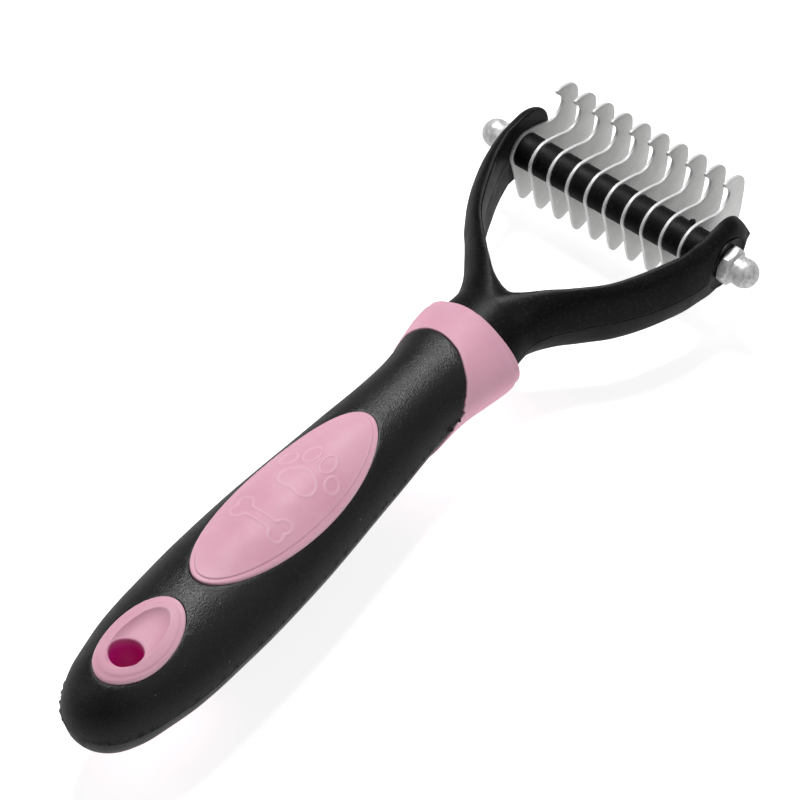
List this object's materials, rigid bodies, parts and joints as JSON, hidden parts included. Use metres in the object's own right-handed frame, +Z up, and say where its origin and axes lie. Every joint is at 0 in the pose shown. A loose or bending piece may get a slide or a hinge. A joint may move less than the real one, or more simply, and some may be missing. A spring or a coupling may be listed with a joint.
{
  "type": "dematting comb",
  "caption": "Hand-held dematting comb: hooked steel blades and spacers on a threaded rod across a Y-shaped fork, with a soft grip over a hard core and a hanging hole.",
  "frame": {"origin": "centre of the hanging hole, at the middle of the handle's thickness; the threaded rod's axis is 160.6 mm along +Y", "axes": "+X along the rod, to the right when the blades point away; +Y from the handle to the blades; +Z up, out of the thumb panel"},
  "size_m": [0.073, 0.196, 0.0292],
  "materials": {
    "fork_plastic": "satin moulded black, fine texture, parting line at mid height",
    "core_plastic": "satin moulded pink hard plastic",
    "grip_rubber": "soft black overmould, fine grain, low sheen",
    "rod_steel": "plain zinc-plated threaded steel",
    "nut_zinc": "bright zinc plate, slightly clouded",
    "blade_steel": "satin ground stainless sheet with bright edges",
    "spacer_plastic": "moulded black plastic with gate and flash marks"
  },
  "bodies": {
    "handle": {"fork": "fork_plastic", "handle_core": "core_plastic", "grip_sleeve": "grip_rubber"},
    "blade_pack": {"blade_01": "blade_steel", "blade_02": "blade_steel", "blade_03": "blade_steel", "blade_04": "blade_steel", "blade_05": "blade_steel", "blade_06": "blade_steel", "blade_07": "blade_steel", "blade_08": "blade_steel", "blade_09": "blade_steel", "blade_10": "blade_steel", "spacer_01": "spacer_plastic", "spacer_02": "spacer_plastic", "spacer_03": "spacer_plastic", "spacer_04": "spacer_plastic", "spacer_05": "spacer_plastic", "spacer_06": "spacer_plastic", "spacer_07": "spacer_plastic", "spacer_08": "spacer_plastic", "spacer_09": "spacer_plastic", "spacer_10": "spacer_plastic"},
    "rod_and_left_nut": {"threaded_rod": "rod_steel", "acorn_nut_left": "nut_zinc"},
    "right_nut": {"acorn_nut_right": "nut_zinc"}
  },
  "joints": [
    {"name": "blade_angle", "type": "hinge", "parent": "handle", "child": "blade_pack", "pos_m": [0, 0.1606, 0], "axis": [1, 0, 0], "range_deg": [-15, 90]},
    {"name": "right_nut_turn", "type": "hinge", "parent": "handle", "child": "right_nut", "pos_m": [0, 0.1606, 0], "axis": [1, 0, 0], "range_deg": [0, 2160]},
    {"name": "rod_back_off", "type": "slide", "parent": "handle", "child": "rod_and_left_nut", "axis": [-1, 0, 0], "range_m": [0, 0.0048]}
  ],
  "couplings": [
    {"joint": "right_nut_turn", "follows": "rod_back_off", "rad_per_m": 7854}
  ]
}
